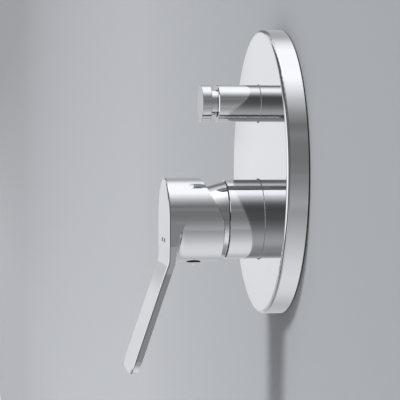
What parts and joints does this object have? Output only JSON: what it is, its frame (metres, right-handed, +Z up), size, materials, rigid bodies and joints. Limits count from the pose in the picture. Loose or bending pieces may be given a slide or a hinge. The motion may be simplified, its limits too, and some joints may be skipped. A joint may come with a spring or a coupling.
{
  "type": "shower mixer",
  "caption": "Concealed bath and shower mixer: round chrome wall plate, single-lever handle on a sleeve, pull diverter knob above it, brass body and ceramic cartridge in the wall.",
  "frame": {"origin": "finished wall face at the middle of the round wall plate", "axes": "+X to the user's right, +Y into the wall, +Z up; the lever and the knob stand out to -Y"},
  "size_m": [0.17, 0.1585, 0.2035],
  "materials": {
    "chrome": "polished chrome plate",
    "brass": "sand-cast and machined",
    "rubber": "matt black",
    "ceramic": "lapped",
    "steel": "stainless, turned",
    "cartridge_plastic": "moulded, off-white",
    "plug_plastic": "chrome-coloured, glossy",
    "hot_enamel": "red enamel",
    "cold_enamel": "dark blue enamel"
  },
  "bodies": {
    "fixed": {"escutcheon": "chrome", "main_sleeve": "chrome", "dome": "chrome", "diverter_sleeve": "chrome", "escutcheon_gasket": "rubber", "main_collar_seal": "rubber", "diverter_collar_seal": "rubber", "neck_seal": "rubber", "port_seals": "rubber", "spindle_seals": "rubber", "bonnet_seal": "rubber", "plug_seal": "rubber", "seam_seal": "rubber", "fixed_ceramic_disc": "ceramic", "diverter_spring": "steel", "cartridge_base": "cartridge_plastic", "cartridge_housing": "cartridge_plastic", "valve_body": "brass", "cartridge_nut": "brass", "diverter_bonnet": "brass", "chamber_plug": "brass"},
    "collar": {"stem_guide": "cartridge_plastic", "pivot_pin": "steel"},
    "handle": {"handle": "chrome", "hot_mark": "hot_enamel", "cold_mark": "cold_enamel", "screw_plug": "plug_plastic", "plug_ring": "rubber", "stem": "steel", "handle_insert": "cartridge_plastic", "grub_screw": "steel"},
    "discs": {"moving_ceramic_disc": "ceramic", "disc_carrier": "cartridge_plastic"},
    "diverter": {"diverter_knob": "chrome", "diverter_spindle": "brass", "shower_washer": "rubber", "bath_washer": "rubber", "spindle_clip": "steel"}
  },
  "joints": [
    {"name": "temperature", "type": "hinge", "parent": "fixed", "child": "collar", "pos_m": [0, 0, -0.0284], "axis": [0, -1, 0], "range_deg": [-45, 45]},
    {"name": "lever_lift", "type": "hinge", "parent": "collar", "child": "handle", "pos_m": [0, -0.0382, -0.0284], "axis": [-1, 0, 0], "range_deg": [0, 22]},
    {"name": "disc_slide", "type": "slide", "parent": "collar", "child": "discs", "axis": [0, 0, -1], "range_m": [0, 0.005]},
    {"name": "diverter_pull", "type": "slide", "parent": "fixed", "child": "diverter", "axis": [0, -1, 0], "range_m": [0, 0.008], "stiffness_N_per_m": 600, "springref_m": -0.004, "deforming": ["diverter_spring"]}
  ],
  "couplings": [
    {"joint": "disc_slide", "follows": "lever_lift", "m_per_rad": 0.01288}
  ]
}
